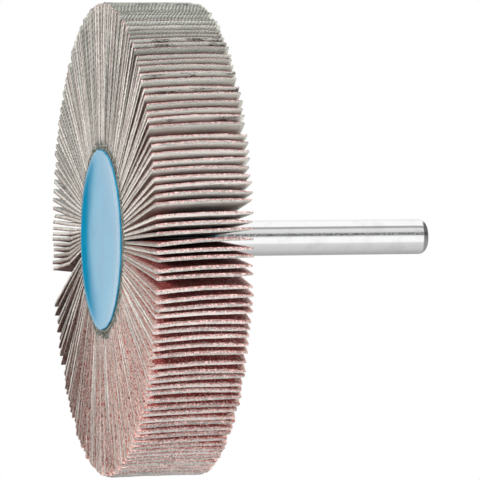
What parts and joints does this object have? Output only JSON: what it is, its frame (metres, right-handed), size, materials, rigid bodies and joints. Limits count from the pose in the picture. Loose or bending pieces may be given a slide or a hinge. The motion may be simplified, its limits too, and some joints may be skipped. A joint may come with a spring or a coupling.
{
  "type": "flap wheel",
  "caption": "Mounted flap wheel: a fan of abrasive cloth leaves held by their roots in a cast resin core on a plain steel shank.",
  "frame": {"origin": "centre of the plane of the resin core's front rim, on which the wheel stands", "axes": "+Z along the shank, from the front face to the shank's end; the wheel runs clockwise seen from there"},
  "size_m": [0.0798, 0.0798, 0.0571],
  "materials": {
    "steel": "bright ground",
    "resin": "gloss, cast",
    "abrasive_cloth": "coated abrasive cloth, red-brown grit on one side and pale cotton backing on the other"
  },
  "bodies": {
    "root": {"shank": "steel", "resin_core": "resin", "flap_bundle_01": "abrasive_cloth", "flap_bundle_02": "abrasive_cloth", "flap_bundle_03": "abrasive_cloth", "flap_bundle_04": "abrasive_cloth", "flap_bundle_05": "abrasive_cloth", "flap_bundle_06": "abrasive_cloth", "flap_bundle_07": "abrasive_cloth", "flap_bundle_08": "abrasive_cloth", "flap_bundle_09": "abrasive_cloth", "flap_bundle_10": "abrasive_cloth", "flap_bundle_11": "abrasive_cloth", "flap_bundle_12": "abrasive_cloth", "flap_bundle_13": "abrasive_cloth", "flap_bundle_14": "abrasive_cloth", "flap_bundle_15": "abrasive_cloth", "flap_bundle_16": "abrasive_cloth", "flap_bundle_17": "abrasive_cloth", "flap_bundle_18": "abrasive_cloth", "flap_bundle_19": "abrasive_cloth", "flap_bundle_20": "abrasive_cloth", "flap_bundle_21": "abrasive_cloth", "flap_bundle_22": "abrasive_cloth", "flap_bundle_23": "abrasive_cloth", "flap_bundle_24": "abrasive_cloth", "flap_bundle_25": "abrasive_cloth", "flap_bundle_26": "abrasive_cloth", "flap_bundle_27": "abrasive_cloth", "flap_bundle_28": "abrasive_cloth", "flap_bundle_29": "abrasive_cloth", "flap_bundle_30": "abrasive_cloth", "flap_bundle_31": "abrasive_cloth", "flap_bundle_32": "abrasive_cloth", "flap_bundle_33": "abrasive_cloth", "flap_bundle_34": "abrasive_cloth", "flap_bundle_35": "abrasive_cloth", "flap_bundle_36": "abrasive_cloth", "flap_bundle_37": "abrasive_cloth", "flap_bundle_38": "abrasive_cloth", "flap_bundle_39": "abrasive_cloth", "flap_bundle_40": "abrasive_cloth", "flap_bundle_41": "abrasive_cloth"}
  },
  "joints": []
}
